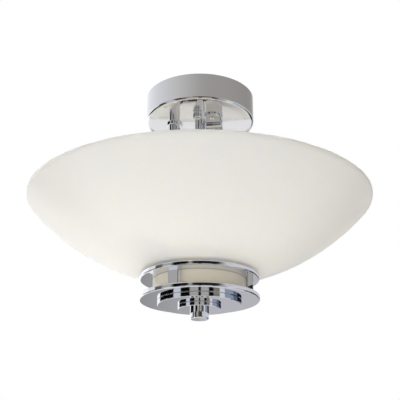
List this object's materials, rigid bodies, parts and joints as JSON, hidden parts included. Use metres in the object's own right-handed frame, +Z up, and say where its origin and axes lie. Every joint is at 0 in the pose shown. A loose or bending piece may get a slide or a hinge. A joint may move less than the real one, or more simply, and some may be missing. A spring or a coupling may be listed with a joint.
{
  "type": "semi flush ceiling light",
  "caption": "Semi flush ceiling light: round chrome canopy and stems, a wide shallow opal glass bowl open at the top, and a stepped chrome foot with a glass collar and finial.",
  "frame": {"origin": "centre of the canopy in the ceiling plane, on the top face of the mounting bar", "axes": "+Z up into the ceiling along the light's axis, -Y towards the viewer of the picture, +X to the viewer's right"},
  "size_m": [0.387, 0.387, 0.2667],
  "materials": {
    "polished_chrome": "mirror-polished chrome plate on steel and zinc",
    "zinc_steel": "zinc-plated steel fasteners",
    "white_enamel": "white powder coat on pressed steel",
    "black_enamel": "satin black powder coat on pressed steel",
    "opal_glass": "satin-etched opal glass",
    "collar_opal_glass": "satin opal glass tube",
    "white_phenolic": "moulded white phenolic",
    "thread_brass": "bright pressed brass",
    "earth_green": "green-dyed zinc plate",
    "terminal_plastic": "moulded nylon",
    "frosted_lamp_glass": "frosted lamp glass",
    "lamp_cap_nickel": "nickel-plated screw cap",
    "seal_rubber": "soft silicone rubber"
  },
  "bodies": {
    "fixture": {"base_disc": "polished_chrome", "bowl": "opal_glass", "bowl_clamp_plate": "white_enamel", "bowl_gasket_lower": "seal_rubber", "bowl_gasket_upper": "seal_rubber", "canopy": "polished_chrome", "canopy_studs": "zinc_steel", "collar_glass": "collar_opal_glass", "collar_seals": "seal_rubber", "earth_screw": "earth_green", "lamp_plate": "black_enamel", "lampholder_1": "white_phenolic", "lampholder_2": "white_phenolic", "lampholder_3": "white_phenolic", "lampholder_nuts": "zinc_steel", "lower_stem": "zinc_steel", "lower_step": "polished_chrome", "mounting_bar": "zinc_steel", "post_back": "polished_chrome", "post_left": "polished_chrome", "post_right": "polished_chrome", "post_screws": "zinc_steel", "rod_nut": "zinc_steel", "rod_washer": "zinc_steel", "side_strap": "polished_chrome", "side_tube": "polished_chrome", "side_tube_collar": "polished_chrome", "side_tube_nuts": "zinc_steel", "strap_nuts": "zinc_steel", "strap_screws": "zinc_steel", "stud_nuts": "zinc_steel", "terminal_block": "terminal_plastic", "terminal_screws": "thread_brass", "thread_shell_1": "thread_brass", "thread_shell_2": "thread_brass", "thread_shell_3": "thread_brass", "threaded_rod": "zinc_steel", "trim_ring": "polished_chrome", "upper_stem": "polished_chrome", "upper_step": "polished_chrome"},
    "front_knob": {"canopy_knob_front": "polished_chrome"},
    "back_knob": {"canopy_knob_back": "polished_chrome"},
    "foot_finial": {"finial": "polished_chrome"},
    "lamp_1": {"lamp_cap_1": "lamp_cap_nickel", "lamp_glass_1": "frosted_lamp_glass"},
    "lamp_2": {"lamp_cap_2": "lamp_cap_nickel", "lamp_glass_2": "frosted_lamp_glass"},
    "lamp_3": {"lamp_cap_3": "lamp_cap_nickel", "lamp_glass_3": "frosted_lamp_glass"}
  },
  "joints": [
    {"name": "front_knob_turn", "type": "hinge", "parent": "fixture", "child": "front_knob", "pos_m": [-0.00298, -0.03186, -0.037], "axis": [0, 0, 1], "continuous": true},
    {"name": "back_knob_turn", "type": "hinge", "parent": "fixture", "child": "back_knob", "pos_m": [0.00298, 0.03186, -0.037], "axis": [0, 0, 1], "continuous": true},
    {"name": "finial_turn", "type": "hinge", "parent": "fixture", "child": "foot_finial", "pos_m": [0, 0, -0.261], "axis": [0, 0, 1], "continuous": true},
    {"name": "lamp_1_turn", "type": "hinge", "parent": "fixture", "child": "lamp_1", "pos_m": [0.08, 0, -0.156], "axis": [1, 0, 0], "continuous": true},
    {"name": "lamp_2_turn", "type": "hinge", "parent": "fixture", "child": "lamp_2", "pos_m": [-0.04, 0.06928, -0.156], "axis": [-0.5, 0.866, 0], "continuous": true},
    {"name": "lamp_3_turn", "type": "hinge", "parent": "fixture", "child": "lamp_3", "pos_m": [-0.04, -0.06928, -0.156], "axis": [-0.5, -0.866, 0], "continuous": true}
  ]
}
